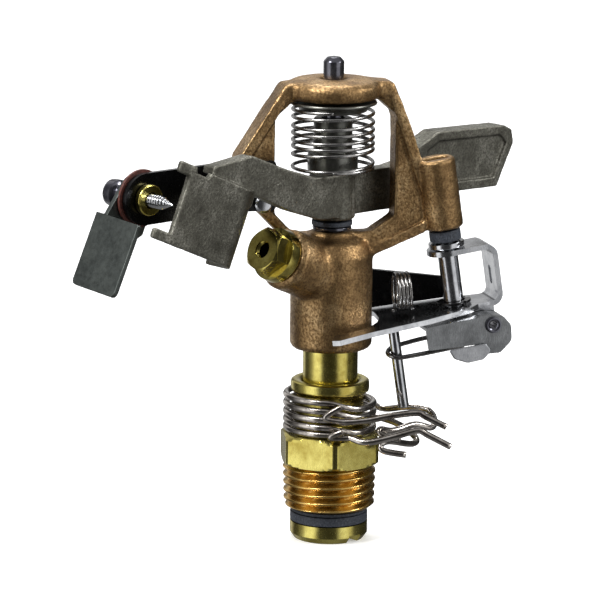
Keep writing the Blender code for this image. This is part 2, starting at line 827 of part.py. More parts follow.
def deflector_bracket():
    """Strap from the left leg to the diffuser screw, and its two screws; returns the leg's holes."""
    foot = BRIDGE_FACE * (RIM_HALF + GAP + SHEET / 2.0)
    bend_reach = (foot.x - STRAP_X) / BRIDGE_OUT.x
    bend = foot - BRIDGE_OUT * bend_reach
    half = SHEET / 2.0
    eye = arc((SCREW_Y, SCREW_Z), STRAP_EYE_R, 90.0, 270.0, 12)
    outline = [*eye, (bend.y, STRAP_LOW), (bend.y, STRAP_HIGH)]
    strap = sheet("deflector_bracket", outline, STRAP_X - half, STRAP_X + half, SIDE_FRAME)
    foot_frame = axis_frame((bend.x, bend.y, 0.0), BRIDGE_OUT, -BRIDGE_FACE)
    length = bend_reach - FOOT_END
    corners = [(-0.25, -STRAP_HIGH, 0.0), (length, -STRAP_HIGH), (length, -STRAP_LOW), (-0.25, -STRAP_LOW, 0.0)]
    join(strap, sheet("strap_foot", rounded(corners, 1.0), -half, half, foot_frame))
    cut(strap, rod("eye_hole", 2.9, STRAP_X - 3.0, STRAP_X + 3.0, SCREW_FRAME))
    leg_holes = []
    for name, height in (("upper_bracket_screw", 85.4), ("lower_bracket_screw", 78.9)):
        at = Vector((0.0, 0.0, height)) - BRIDGE_OUT * 17.4
        frame = axis_frame(at, (0.0, 0.0, 1.0), BRIDGE_FACE)
        cut(strap, rod(name + "_hole", 1.6, 2.0, 8.0, frame, segments=20))
        leg_holes.append(rod(name + "_leg_hole", 1.6, -5.0, 5.0, frame, segments=20))
        head = turned(
            name,
            [(0.0, 6.5), (1.5, 6.4), (2.1, 5.9), (2.1, 5.3), (1.25, 5.3), (1.25, -4.0), (0.0, -4.0)],
            frame,
            segments=20,
        )
        finish(head, "stainless")
    finish(strap, "dark_steel")
    return leg_holes


def deflector_flap():
    """Flap: an ear on the diffuser bush and a plate bent across the jet."""
    top = Vector((-57.9, 80.0))
    bottom = Vector((-65.2, 64.9))
    back = Vector((top.y - bottom.y, bottom.x - top.x)).normalized()
    frame = axis_frame((0.0, top.x, top.y), (1.0, 0.0, 0.0), (0.0, back.x, back.y))
    length = (bottom - top).length
    corners = [(-13.5, -0.5, 0.3), (1.0, 0.5, 0.3), (1.0, length + 0.5, 1.2), (-13.5, length - 0.5, 1.2)]
    half = SHEET / 2.0
    flap = sheet("deflector_flap", rounded(corners, 1.0), -half, half, frame)
    strip = [(-55.0, 84.6), (-58.3, 80.4), (-58.7, 79.0), (-62.4, 71.4), (-58.0, 70.3), (-48.0, 74.6)]
    disc = arc((SCREW_Y, SCREW_Z), 5.6, -60.0, 150.0, 16)
    ear = sheet("flap_ear", [*disc, *strip], -11.0, -9.8, SIDE_FRAME)
    join(flap, ear)
    cut(flap, rod("ear_hole", 2.9, -12.0, -9.0, SCREW_FRAME))
    finish(flap, "stainless")


def diffuser_pieces():
    """Bush, washer and pointed screw of the diffuser."""
    bush = turned(
        "diffuser_bush",
        [(3.3, -5.7), (3.5, -5.9), (3.5, -7.1), (2.6, -7.1), (2.6, -11.3), (1.8, -11.3), (1.8, -5.7)],
        SCREW_FRAME,
        segments=32,
        ring=True,
    )
    finish(bush, "brass")
    finish(washer("fibre_washer", 6.5, 2.9, -9.5, -8.9, SCREW_FRAME, segments=36), "fibre")
    screw = turned(
        "diffuser_screw",
        [
            (0.0, 1.5),
            (0.45, 0.7),
            (1.5, -2.3),
            (1.5, -11.7),
            (2.7, -11.7),
            (2.7, -14.6),
            (2.2, -15.0),
            (2.2, -15.8),
            (3.1, -16.3),
            (3.1, -18.6),
            (2.6, -19.3),
            (0.0, -19.3),
        ],
        SCREW_FRAME,
        segments=32,
    )
    finish(screw, "dark_steel")


def trip_bracket():
    """U-bracket: a lug on the pivot pin, the outer wall and the forked plate."""
    half = SHEET / 2.0
    inside = WALL_OUT - SHEET
    lug = [(-4.6, -4.6, 4.5), (inside - 1.0, -4.4, 0.0), (inside - 1.0, 5.0, 0.0), (-4.6, 4.6, 4.5)]
    bracket = sheet("trip_bracket", rounded(lug, 4.5, 6), -half, half, TRIP_FRAME)
    low = PLATE_BOTTOM
    bend = 2.8
    centre_top = (WALL_OUT - bend, half - bend)
    centre_low = (WALL_OUT - bend, low + bend)
    section = [(inside - 2.2, half)]
    section += arc(centre_top, bend, 90.0, 0.0, 5)
    section += arc(centre_low, bend, 0.0, -90.0, 5)
    section += [(inside - 2.2, low), (inside - 2.2, low + SHEET)]
    section += arc(centre_low, bend - SHEET, -90.0, 0.0, 5)
    section += arc(centre_top, bend - SHEET, 0.0, 90.0, 5)
    section += [(inside - 2.2, half - SHEET)]
    wall = sheet("trip_wall", section, -5.05, 4.35, TRIP_SECTION)
    fork = [
        (inside - 1.4, -4.3),
        (4.4, -4.45),
        (1.6, -7.1),
        (-8.9, -10.0),
        (-22.9, -11.6),
        (-31.0, -13.6),
        (-32.4, -12.4),
        (-31.6, -10.2),
        *arc(BARREL_CENTRE, 11.0, -100.0, -2.0, 12),
        (-17.2, 7.0),
        (-18.0, 11.9),
        (-1.0, 7.8),
        (inside - 1.4, 4.95),
    ]
    plate = sheet("trip_fork", fork, PLATE_BOTTOM + 0.02, PLATE_TOP - 0.02, TRIP_FRAME)
    ear = box("hinge_ear", (3.0, -4.4, -18.6), (8.0, -3.4, PLATE_BOTTOM + 0.4), TRIP_FRAME)
    join(bracket, wall, plate, ear)
    slot = rounded([(-5.2, -0.9), (-9.6, -0.9), (-9.6, 0.9), (-5.2, 0.9)], 0.8)
    slot_frame = TRIP_FRAME @ axis_frame((0.0, 0.0, 0.0), (0.0, 0.0, 1.0), (1.0, 0.0, 0.0))
    cut(
        bracket,
        rod("lug_hole", PIVOT_R + GAP, PLATE_BOTTOM - 1.0, 1.0, TRIP_FRAME),
        sheet("wall_slot", slot, WALL_OUT - 2.0, WALL_OUT + 1.0, slot_frame),
        rod("ear_pin_hole", 1.5, 2.5, 6.0, HINGE_FRAME, segments=20),
    )
    finish(bracket, "stainless")


def trip_pieces():
    """Pivot pin, washers, clip, shoe and over-centre spring."""
    pin = turned(
        "trip_pivot_pin",
        [
            (0.0, 16.6),
            (PIVOT_R, 16.6),
            (PIVOT_R, PLATE_BOTTOM - GAP),
            (3.2, PLATE_BOTTOM - GAP),
            (3.2, PLATE_BOTTOM - 1.1),
            (2.4, PLATE_BOTTOM - 1.5),
            (0.0, PLATE_BOTTOM - 1.5),
        ],
        TRIP_FRAME,
        segments=32,
    )
    finish(pin, "stainless")
    bore = PIVOT_R + GAP
    finish(washer("rubber_trip_washer", 3.6, bore, 2.4, 4.9, TRIP_FRAME, segments=32), "rubber")
    finish(washer("steel_trip_washer", 4.1, bore, 0.9, 2.1, TRIP_FRAME, segments=32), "stainless")
    clip = washer("retaining_clip", 3.9, bore, PLATE_TOP + 0.3, PLATE_TOP + 0.9, TRIP_FRAME, segments=32)
    for index in range(4):
        frame = TRIP_FRAME @ place(turn=20.0 + 90.0 * index)
        cut(clip, box(f"clip_gap_{index}", (3.2, -0.7, PLATE_TOP), (5.0, 0.7, PLATE_TOP + 2.0), frame))
    finish(clip, "dark_steel")
    start = Vector((-17.6, 10.9, 0.0))
    along = Vector((19.0, -4.3, 0.0))
    shoe_frame = TRIP_FRAME @ axis_frame(start, along, along.cross(Vector((0.0, 0.0, 1.0))))
    base = PLATE_TOP + GAP
    outline = rounded([(0.0, base), (along.length, base), (along.length, base + 4.6), (0.0, base + 9.5)], 0.8)
    finish(sheet("trip_shoe", outline, -SHEET / 2.0, SHEET / 2.0, shoe_frame), "dark_steel")
    coil_frame = TRIP_FRAME @ axis_frame((-12.0, -1.2, -6.9), (0.0, 0.0, 1.0), (1.0, -0.12, -0.1))
    coil = helix(4.1, -1.7, 1.7, 4, start=180.0)
    coil = [(-4.1, 2.6, -2.6), *coil, (-4.5, -0.4, 2.4)]
    finish(wire("over_centre_spring", coil, 0.36, coil_frame), "spring_wire")


def flip_lever_pieces():
    """Flip lever with its hinge pin, the trip pin and the wire that holds it."""
    outline = rounded(
        [
            (-10.0, -14.3, 0.4),
            (5.6, -14.2, 0.8),
            (8.3, -15.0, 1.0),
            (9.9, -17.2, 1.2),
            (9.6, -22.4, 1.5),
            (6.6, -23.6, 1.0),
            (1.6, -20.6, 0.8),
            (-10.0, -19.8, 0.6),
        ],
        1.0,
    )
    lever = sheet("flip_lever", outline, 4.8, 10.4, TRIP_SECTION)
    hollow = rounded([(-12.0, -15.2), (5.4, -15.1), (8.0, -16.0), (8.8, -17.6), (8.8, -26.0), (-12.0, -26.0)], 0.6)
    inside = sheet("lever_hollow", hollow, 2.0, 9.4, TRIP_SECTION)
    lip = rounded([(-6.0, -20.4), (3.0, -20.4), (4.6, -22.6), (2.0, -24.2), (-2.4, -24.0), (-5.0, -22.6)], 0.8)
    join(lever, sheet("lever_lip", lip, 9.6, 10.8, TRIP_SECTION))
    cut(lever, inside, rod("lever_pin_hole", 1.4, 8.0, 12.0, HINGE_FRAME, segments=20))
    finish(lever, "stainless")
    pin = turned(
        "lever_hinge_pin",
        [(0.0, 11.4), (1.7, 11.2), (2.0, 10.7), (1.1, 10.7), (1.1, 2.9), (0.0, 2.9)],
        HINGE_FRAME,
        segments=20,
    )
    finish(pin, "stainless")
    pin_frame = TRIP_FRAME @ place(*TRIP_PIN_AT)
    finish(rod("trip_pin", 1.25, -33.4, -14.4, pin_frame, segments=24, chamfer=0.25), "stainless")
    x, y = TRIP_PIN_AT
    loop = [(-1.0, -7.6, -20.6), (-8.0, -6.0, -21.2)]
    loop += [(a, b, -21.4 + 0.2 * i) for i, (a, b) in enumerate(arc((x, y), 2.0, -80.0, -280.0, 10))]
    loop += [(-11.0, -1.9, -18.8), (-8.0, -3.6, -18.2), (-1.0, -5.6, -17.9)]
    finish(wire("trip_wire", loop, 0.54, TRIP_FRAME), "dark_steel")


def hang(pivot_name, frame, *names):
    """Parent moving pieces to an empty on their joint's axis, without moving them."""
    pivot = bpy.data.objects.new(pivot_name, None)
    bpy.data.collections[PARTS_NAME].objects.link(pivot)
    pivot.empty_display_size = 5.0 * MM
    pivot.matrix_world = frame
    for name in names:
        piece = bpy.data.objects[name]
        piece.parent = pivot
        piece.matrix_parent_inverse = frame.inverted()


def hang_moving_pieces():
    """Put every moving piece on the axis that it turns about or slides along."""
    hang("lower_collar_axis", place(), "lower_collar")
    hang("upper_collar_axis", place(), "upper_collar")
    hang("arm_axis", place(), "impact_arm", "arm_bush")
    hang("diffuser_axis", SCREW_FRAME, "diffuser_screw", "deflector_flap")
    hang("trip_axis", TRIP_FRAME, "trip_bracket", "trip_shoe")
    hang("flip_axis", HINGE_FRAME, "flip_lever", "lever_hinge_pin", "trip_pin", "trip_wire")


def build():
    start_clean()
    bearing_nipple()
    friction_collars()
    stem_tube()
    bearing_pieces()
    leg_holes = deflector_bracket()
    deflector_flap()
    diffuser_pieces()
    sprinkler_body(leg_holes)
    nozzle()
    fulcrum_pieces()
    impact_arm()
    trip_bracket()
    trip_pieces()
    flip_lever_pieces()
    hang_moving_pieces()


build()
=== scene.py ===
"""The looks of the impact sprinkler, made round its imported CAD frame.

Castings are the CAD solids remeshed, rounded and given a cast skin. Turned and stamped pieces are
the CAD solids with worn edges. Threads, springs and wires are made again with a smooth surface.
Sizes are in millimetres where a name doesn't say otherwise, and MM turns them into metres.
"""

import json
import math

import bmesh
import bpy
from mathutils import Matrix, Vector, noise


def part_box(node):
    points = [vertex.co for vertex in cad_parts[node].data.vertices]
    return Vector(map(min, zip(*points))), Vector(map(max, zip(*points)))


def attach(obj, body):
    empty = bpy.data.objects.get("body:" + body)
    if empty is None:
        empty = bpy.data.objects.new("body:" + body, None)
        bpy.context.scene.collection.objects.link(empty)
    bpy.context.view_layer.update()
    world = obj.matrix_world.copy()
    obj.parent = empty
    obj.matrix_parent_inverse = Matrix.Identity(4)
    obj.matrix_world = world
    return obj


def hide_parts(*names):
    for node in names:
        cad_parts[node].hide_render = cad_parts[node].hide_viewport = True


MM = 0.001
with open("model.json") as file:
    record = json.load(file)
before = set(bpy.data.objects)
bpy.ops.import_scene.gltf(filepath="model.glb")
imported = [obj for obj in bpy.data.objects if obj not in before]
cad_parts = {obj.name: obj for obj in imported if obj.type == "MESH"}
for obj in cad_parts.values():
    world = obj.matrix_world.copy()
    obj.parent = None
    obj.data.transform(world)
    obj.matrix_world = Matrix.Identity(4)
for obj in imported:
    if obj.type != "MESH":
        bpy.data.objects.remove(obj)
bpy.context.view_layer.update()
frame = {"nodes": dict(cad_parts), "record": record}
BODY_OF = {node: body for body, nodes in frame["record"]["behaviour"]["bodies"].items() for node in nodes}
MERGE = 0.000002  # vertices nearer than this, in metres, are one
FLAT_ANGLE = 0.6  # degrees between faces that count as one flat face

# Camera
AZIMUTH = 47.0
ELEVATION = 12.0
ROLL = -0.6
DISTANCE = 1.05
LOOK_AT_HEIGHT = 0.05407
SIDE_SHIFT = 0.00612
VIEW_WIDTH = 0.13771  # width of the view at the object, in metres
SENSOR = 36.0

# Inlet nipple
PITCH = 25.4 / 14.0
THREAD_R = 10.65
THREAD_DEPTH = 1.15
THREAD_TAPER = math.tan(math.radians(1.79))
THREAD_TOP = 17.7
HEX_TOP = 24.9
HEX_FLATS = 21.2
HEX_TURN = -6.5
NECK_R = 7.7
CUP_R = 8.95
CUP_BOTTOM = 34.0
STEM_CLEARANCE_R = 4.9
CUP_BORE_R = 6.55
SLOT_TURN = -28.0  # brings the slot in the inlet flange round to +X

# Edges, wires and cast skins
SHARP_ANGLE = 32.0
WIRE_LEVELS = 2
CUT_END_ANGLE = 70.0
CUT_END_CREASE = 0.75
WAVE_SIZE = 3.2
FINER = 2.3


# ---------------------------------------------------------------- materials


def fill_ramp(node, stops):
    """Set a colour ramp's stops, each a position and a grey or a colour."""
    elements = node.color_ramp.elements
    while len(elements) < len(stops):
        elements.new(0.5)
    for element, (position, colour) in zip(elements, stops):
        element.position = position
        grey = isinstance(colour, (int, float))
        element.color = (colour, colour, colour, 1.0) if grey else (*colour, 1.0)


class Finish:
    """A material's node tree, with short calls that make and link its nodes."""

    def __init__(self, name):
        self.material = bpy.data.materials.new(name)
        self.material.use_nodes = True
        self.tree = self.material.node_tree
        self.shader = self.tree.nodes["Principled BSDF"]
        self.place = self.tree.nodes.new("ShaderNodeTexCoord").outputs["Object"]

    def link(self, source, target):
        if isinstance(source, (int, float)):
            target.default_value = source
        elif isinstance(source, tuple):
            target.default_value = (*source, 1.0)
        else:
            self.tree.links.new(source, target)

    def stretched(self, stretch):
        mapping = self.tree.nodes.new("ShaderNodeMapping")
        self.link(self.place, mapping.inputs["Vector"])
        mapping.inputs["Scale"].default_value = stretch
        return mapping.outputs["Vector"]

    def noise(self, size, detail=3.0, rough=0.55, stretch=None):
        """Noise whose features are about size millimetres wide."""
        made = self.tree.nodes.new("ShaderNodeTexNoise")
        self.link(self.stretched(stretch) if stretch else self.place, made.inputs["Vector"])
        made.inputs["Scale"].default_value = 1.0 / (size * MM)
        made.inputs["Detail"].default_value = detail
        made.inputs["Roughness"].default_value = rough
        return made.outputs["Fac"]

    def edges(self):
        """How convex the surface is, about 0.5 where it is flat."""
        return self.tree.nodes.new("ShaderNodeNewGeometry").outputs["Pointiness"]

    def ramp(self, factor, stops):
        made = self.tree.nodes.new("ShaderNodeValToRGB")
        self.link(factor, made.inputs["Fac"])
        fill_ramp(made, stops)
        return made.outputs["Color"]

    def mix(self, factor, first, second):
        made = self.tree.nodes.new("ShaderNodeMix")
        made.data_type = "RGBA"
        self.link(factor, made.inputs[0])
        self.link(first, made.inputs[6])
        self.link(second, made.inputs[7])
        return made.outputs[2]

    def bump(self, height, strength, distance, below=None):
        made = self.tree.nodes.new("ShaderNodeBump")
        made.inputs["Strength"].default_value = strength
        made.inputs["Distance"].default_value = distance * MM
        self.link(height, made.inputs["Height"])
        if below is not None:
            self.link(below, made.inputs["Normal"])
        return made.outputs["Normal"]

    def set(self, **sockets):
        names = {"colour": "Base Color", "coat": "Coat Weight", "coat_roughness": "Coat Roughness"}
        for key, value in sockets.items():
            name = names.get(key, key.replace("_", " ").title())
            self.link(value, self.shader.inputs[name])
        return self.material


def cast_finish(name, dark, middle, light, roughness, grain):
    """Sand-cast metal: fine grain, broad stains, painted shade in its hollows and rubbed edges."""
    f = Finish(name)
    stain = f.noise(7.0, detail=5.0, rough=0.6)
    speck = f.noise(0.55, detail=3.0, rough=0.65)
    colour = f.ramp(stain, [(0.30, dark), (0.50, middle), (0.72, light)])
    colour = f.mix(f.ramp(speck, [(0.38, 0.85), (0.60, 0.0)]), colour, dark)
    # painted shade: where the surface is concave, the colour is darkened towards the dark colour, as if
    # shade fell in the hollows
    colour = f.mix(f.ramp(f.edges(), [(0.44, 1.0), (0.492, 0.0)]), colour, dark)
    colour = f.mix(f.ramp(f.edges(), [(0.515, 0.0), (0.60, 0.8)]), colour, light)
    rough = f.ramp(speck, [(0.35, roughness + 0.14), (0.65, roughness - 0.06)])
    coarse = f.bump(f.noise(1.5, detail=3.0), 0.6, 0.22)
    fine = f.bump(f.noise(grain, detail=2.0, rough=0.7), 0.9, 0.12, coarse)
    return f.set(colour=colour, metallic=0.88, roughness=rough, normal=fine)


def machined_finish(name, clean, tarnish, roughness, scratch, amount):
    """Turned or drawn metal: tool marks along one way, patches of tarnish and fine scratches."""
    f = Finish(name)
    patch = f.noise(4.5, detail=5.0, rough=0.65)
    marks = f.noise(1.1, detail=4.0, rough=0.7, stretch=scratch)
    colour = f.ramp(patch, [(0.34, tarnish), (0.62, clean)])
    colour = f.mix(f.ramp(marks, [(0.35, amount), (0.6, 0.0)]), colour, tarnish)
    rough = f.ramp(marks, [(0.3, roughness + 0.12), (0.7, max(roughness - 0.05, 0.04))])
    normal = f.bump(marks, 0.22, 0.03)
    return f.set(colour=colour, metallic=1.0, roughness=rough, normal=normal)


def coated_finish(name, colour, worn, roughness):
    """Dark plated or blacked steel, with a thin gloss and slight rubs."""
    f = Finish(name)
    rub = f.noise(3.0, detail=5.0, rough=0.7)
    fine = f.noise(0.35, detail=2.0)
    base = f.mix(f.ramp(rub, [(0.55, 0.0), (0.78, 0.55)]), colour, worn)
    rough = f.ramp(rub, [(0.3, roughness), (0.75, roughness + 0.16)])
    return f.set(
        colour=base,
        metallic=0.85,
        roughness=rough,
        coat=0.35,
        coat_roughness=0.12,
        normal=f.bump(fine, 0.12, 0.02),
    )


def rubber_finish():
    f = Finish("rubber_skin")
    speck = f.noise(0.4, detail=4.0, rough=0.7)
    stops = [(0.35, (0.014, 0.017, 0.024)), (0.62, (0.06, 0.07, 0.09)), (0.75, (0.14, 0.15, 0.17))]
    colour = f.ramp(speck, stops)
    return f.set(colour=colour, metallic=0.0, roughness=0.62, normal=f.bump(speck, 0.5, 0.05))


def fibre_finish():
    f = Finish("fibre_skin")
    speck = f.noise(0.6, detail=4.0, rough=0.7)
    colour = f.ramp(speck, [(0.35, (0.05, 0.012, 0.01)), (0.65, (0.16, 0.045, 0.03))])
    return f.set(colour=colour, metallic=0.0, roughness=0.55, normal=f.bump(speck, 0.4, 0.04))


ALONG_Z = (14.0, 14.0, 1.0)
AROUND_Z = (1.0, 1.0, 12.0)
BRUSHED = (10.0, 1.0, 1.0)
EVEN = (1.0, 1.0, 1.0)

# name: dark, middle, light, roughness, grain
CAST = {
    "bronze": ((0.13, 0.075, 0.03), (0.40, 0.25, 0.11), (0.72, 0.50, 0.26), 0.34, 0.36),
    "cast_arm": ((0.075, 0.072, 0.058), (0.18, 0.175, 0.145), (0.34, 0.33, 0.285), 0.4, 0.3),
}

# name: clean, tarnish, roughness, scratch, amount
MACHINED = {
    "brass": ((0.70, 0.62, 0.19), (0.40, 0.32, 0.07), 0.17, ALONG_Z, 0.45),
    "thread_brass": ((0.80, 0.54, 0.18), (0.44, 0.26, 0.06), 0.2, AROUND_Z, 0.3),
    "nozzle_brass": ((0.66, 0.57, 0.17), (0.28, 0.22, 0.045), 0.1, AROUND_Z, 0.3),
    "stainless": ((0.60, 0.61, 0.63), (0.36, 0.37, 0.39), 0.13, BRUSHED, 0.25),
    "lever_steel": ((0.34, 0.35, 0.36), (0.17, 0.175, 0.18), 0.24, BRUSHED, 0.5),
    "flap_steel": ((0.150, 0.165, 0.155), (0.09, 0.10, 0.095), 0.36, EVEN, 0.45),
    "spring_wire": ((0.46, 0.45, 0.44), (0.14, 0.135, 0.13), 0.2, EVEN, 0.45),
    "bright_wire": ((0.60, 0.56, 0.52), (0.20, 0.175, 0.15), 0.14, EVEN, 0.25),
}

# name: colour, worn, roughness
COATED = {
    "dark_steel": ((0.10, 0.10, 0.12), (0.30, 0.30, 0.33), 0.08),
    "sleeve_steel": ((0.13, 0.13, 0.115), (0.3, 0.3, 0.28), 0.24),
    "black_steel": ((0.012, 0.012, 0.013), (0.07, 0.07, 0.075), 0.2),
}


def make_finishes():
    """One material for each finish that the sprinkler shows."""
    finishes = {name: cast_finish(name + "_skin", *values) for name, values in CAST.items()}
    for name, values in MACHINED.items():
        finishes[name] = machined_finish(name + "_skin", *values)
    for name, values in COATED.items():
        finishes[name] = coated_finish(name + "_skin", *values)
    finishes["rubber"] = rubber_finish()
    finishes["fibre"] = fibre_finish()
    return finishes


# ---------------------------------------------------------------- meshes


def add_mesh(name, mesh, matrix=None):
    piece = bpy.data.objects.new(name, mesh)
    bpy.context.scene.collection.objects.link(piece)
    if matrix is not None:
        mesh.transform(matrix)
    return piece


def smooth_by_angle(mesh, degrees):
    mesh.shade_smooth()
    mesh.set_sharp_from_angle(angle=math.radians(degrees))


def flat_faces(piece):
    """Let the large flat faces of a bevelled piece set the shading at their edges."""
    step = piece.modifiers.new("face_normals", "WEIGHTED_NORMAL")
    step.keep_sharp = True
    applied(piece)


def applied(piece):
    """Apply a piece's modifiers to its mesh."""
    bpy.context.view_layer.update()
    evaluated = piece.evaluated_get(bpy.context.evaluated_depsgraph_get())
    mesh = bpy.data.meshes.new_from_object(evaluated)
    piece.modifiers.clear()
    old = piece.data
    piece.data = mesh
    bpy.data.meshes.remove(old)
    return mesh


def dress(piece, node, finish, stands_for=True):
    """Give a piece its material and the body of a CAD node, and hide that node."""
    piece.data.materials.clear()
    piece.data.materials.append(FINISHES[finish])
    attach(piece, BODY_OF[node])
    if stands_for:
        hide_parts(node)
    return piece


def cad_copy(node, name, flatten=True):
    """A copy of a CAD node's mesh with its seams merged and its flat faces whole."""
    work = bmesh.new()
    work.from_mesh(frame["nodes"][node].data)
    bmesh.ops.remove_doubles(work, verts=work.verts, dist=MERGE)
    if flatten:
        limit = math.radians(FLAT_ANGLE)
        bmesh.ops.dissolve_limit(work, angle_limit=limit, verts=work.verts, edges=work.edges)
    for layer in list(work.loops.layers.uv):
        work.loops.layers.uv.remove(layer)
    mesh = bpy.data.meshes.new(name)
    work.to_mesh(mesh)
    work.free()
    if mesh.attributes.get("custom_normal"):
        mesh.attributes.remove(mesh.attributes["custom_normal"])
    return add_mesh(name, mesh)


def bevelled(node, finish, width):
    """A turned or stamped CAD piece with its sharp edges broken."""
    piece = cad_copy(node, node + "_part")
    step = piece.modifiers.new("worn_edges", "BEVEL")
    step.width = width * MM
    step.segments = 2
    step.limit_method = "ANGLE"
    step.angle_limit = math.radians(SHARP_ANGLE)
    step.use_clamp_overlap = True
    smooth_by_angle(applied(piece), SHARP_ANGLE)
    flat_faces(piece)
    return dress(piece, node, finish)


def soften(piece, iterations, group=""):
    """Smooth a remeshed piece, all over or only where a vertex group says."""
    step = piece.modifiers.new("round", "SMOOTH")
    step.factor = 0.5
    step.iterations = iterations
    step.vertex_group = group
    return applied(piece)


def sculpted(node, name, finish, voxel, rounding, waves, extra=(), blends=()):
    """A cast piece: the CAD solid remeshed, rounded and gently uneven. Each of blends is a weight
    for a point in mm, and the number of times that the casting is smoothed where it is over 0."""
    piece = cad_copy(node, name, flatten=False)
    if extra:
        work = bmesh.new()
        work.from_mesh(piece.data)
        for mesh in extra:
            work.from_mesh(mesh)
        work.to_mesh(piece.data)
        work.free()
    remesh = piece.modifiers.new("skin", "REMESH")
    remesh.mode = "VOXEL"
    remesh.voxel_size = voxel * MM
    mesh = applied(piece)
    for index, (weight, iterations) in enumerate(blends):
        group = piece.vertex_groups.new(name=f"blend_{index}")
        for vertex in mesh.vertices:
            share = weight(vertex.co / MM)
            if share > 0.0:
                group.add([vertex.index], min(1.0, share), "REPLACE")
        mesh = soften(piece, iterations, group.name)
    mesh = soften(piece, rounding)
    scale = 1.0 / (WAVE_SIZE * MM)
    normals = [vertex.normal.copy() for vertex in mesh.vertices]
    for vertex, normal in zip(mesh.vertices, normals):
        wave = noise.noise(vertex.co * scale) + 0.5 * noise.noise(vertex.co * scale * FINER)
        vertex.co += normal * (wave * waves * MM)
    mesh.shade_smooth()
    return dress(piece, node, finish)


def round_wire(node, finish, radius, sides):
    """A CAD wire made round and even, with crisp cut ends. It keeps its radius in mm."""
    piece = cad_copy(node, node + "_wire", flatten=False)
    work = bmesh.new()
    work.from_mesh(piece.data)
    bmesh.ops.join_triangles(
        work,
        faces=work.faces,
        angle_face_threshold=math.radians(60.0),
        angle_shape_threshold=math.radians(80.0),
    )
    crease = work.edges.layers.float.new("crease_edge")
    for edge in work.edges:
        if len(edge.link_faces) == 2 and edge.calc_face_angle() > math.radians(CUT_END_ANGLE):
            edge[crease] = CUT_END_CREASE
    shrink = 2.0 / 3.0 + math.cos(math.tau / sides) / 3.0
    work.normal_update()
    for vertex in work.verts:
        vertex.co += vertex.normal * ((1.0 - shrink) * radius * MM)
    work.to_mesh(piece.data)
    work.free()
    step = piece.modifiers.new("round", "SUBSURF")
    step.levels = WIRE_LEVELS
    step.render_levels = WIRE_LEVELS
    applied(piece).shade_smooth()
    return dress(piece, node, finish)


def turned_rings(work, rows, segments):
    """Rings of vertices about Z. rows are (height, radius) in mm; a radius may be a function of
    the angle in radians."""
    rings = []
    for height, radius in rows:
        ring = []
        for step in range(segments):
            angle = math.tau * step / segments
            reach = (radius(angle) if callable(radius) else radius) * MM
            ring.append(work.verts.new((reach * math.cos(angle), reach * math.sin(angle), height * MM)))
        rings.append(ring)
    return rings


def skin(work, upper, lower):
    """Faces between two rings."""
    for step in range(len(upper)):
        after = (step + 1) % len(upper)
        work.faces.new((upper[step], lower[step], lower[after], upper[after]))


def lathe(name, rows, segments=96, matrix=None):
    """A closed ring of revolution, whose rows go down the outside and up the inside."""
    mesh = bpy.data.meshes.new(name)
    work = bmesh.new()
    rings = turned_rings(work, rows, segments)
    for upper, lower in zip(rings, rings[1:] + rings[:1]):
        skin(work, upper, lower)
    work.to_mesh(mesh)
    work.free()
    return add_mesh(name, mesh, matrix)


def spindle(name, rows, segments, matrix):
    """A solid of revolution, closed at both ends, whose rows go from the top down."""
    mesh = bpy.data.meshes.new(name)
    work = bmesh.new()
    rings = turned_rings(work, rows, segments)
    for upper, lower in zip(rings, rings[1:]):
        skin(work, upper, lower)
    work.faces.new(rings[0])
    work.faces.new(rings[-1][::-1])
    work.to_mesh(mesh)
    work.free()
    return add_mesh(name, mesh, matrix)


def round_line(name, points, radius, matrix):
    """A round wire along a smooth curve through points, in mm."""
    curve = bpy.data.curves.new(name, "CURVE")
    curve.dimensions = "3D"
    curve.bevel_depth = radius * MM
    curve.bevel_resolution = 4
    curve.use_fill_caps = True
    curve.resolution_u = 8
    spline = curve.splines.new("NURBS")
    spline.points.add(len(points) - 1)
    for target, point in zip(spline.points, points):
        target.co = (*(Vector(point) * MM), 1.0)
    spline.order_u = 4
    spline.use_endpoint_u = True
    made = bpy.data.objects.new(name + "_line", curve)
    bpy.context.scene.collection.objects.link(made)
    bpy.context.view_layer.update()
    evaluated = made.evaluated_get(bpy.context.evaluated_depsgraph_get())
    mesh = bpy.data.meshes.new_from_object(evaluated)
    bpy.data.objects.remove(made)
    piece = add_mesh(name, mesh, matrix)
    smooth_by_angle(mesh, 50.0)
    return piece


# ---------------------------------------------------------------- inlet


def thread_radius(height, crest, depth, pitch, flat=0.16):
    """The radius of a helical thread at one height, as a function of the angle."""

    def radius(angle):
        phase = (height / pitch - angle / math.tau) % 1.0
        away = abs(phase - 0.5) * 2.0
        share = min(1.0, max(0.0, (1.0 - away) / (1.0 - flat)))
        return crest - depth * (1.0 - share)

    return radius


def hex_radius(flats, turn, limit, corner=0.25):
    """The radius of a hexagon with rubbed corners, cut back to a chamfer's limit."""

    def radius(angle):
        local = (angle - math.radians(turn) + math.pi / 6.0) % (math.pi / 3.0) - math.pi / 6.0
        reach = flats / 2.0 / math.cos(local)
        return min(reach, limit, flats / math.sqrt(3.0) - corner)

    return radius


